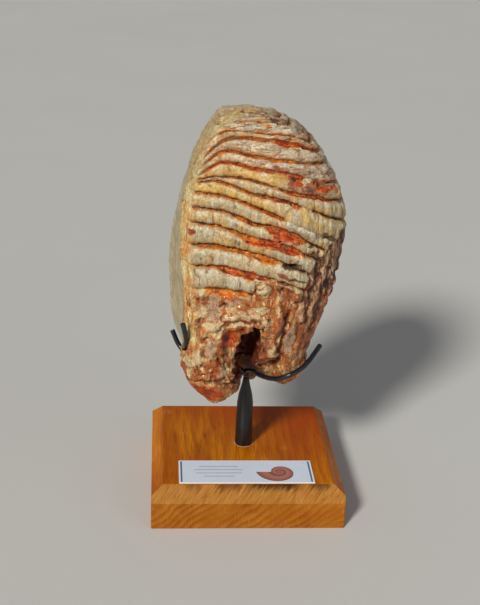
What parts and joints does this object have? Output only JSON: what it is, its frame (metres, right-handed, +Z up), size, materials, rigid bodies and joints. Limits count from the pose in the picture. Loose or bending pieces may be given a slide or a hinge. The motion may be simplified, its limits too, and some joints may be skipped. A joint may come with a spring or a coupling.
{
  "type": "woolly mammoth molar on display stand",
  "caption": "Fossil mammoth cheek tooth with stacked enamel plates and forked roots, standing on end in a bent-wire cradle on a post over a chamfered wooden plinth with a label.",
  "frame": {"origin": "centre of the square underside of the plinth, on the surface it stands on", "axes": "+Z up along the post and the tooth's length; -Y is the front, with the label; -X is the side that the tooth's flat worn face looks to, and +X its rounded root side"},
  "size_m": [0.12, 0.12, 0.251],
  "materials": {
    "fossil_tooth": "mineralised enamel and dentine in cream, ochre and rust red, matte to satin",
    "varnished_wood": "honey brown wood under satin varnish, end grain on the front and the back",
    "printed_card": "pale laminated card with a printed motif, semi-gloss",
    "black_metal": "black paint, satin",
    "black_wire": "black paint, glossy"
  },
  "bodies": {
    "root": {"molar": "fossil_tooth", "plinth": "varnished_wood", "label": "printed_card", "post": "black_metal", "cradle": "black_wire"}
  },
  "joints": []
}
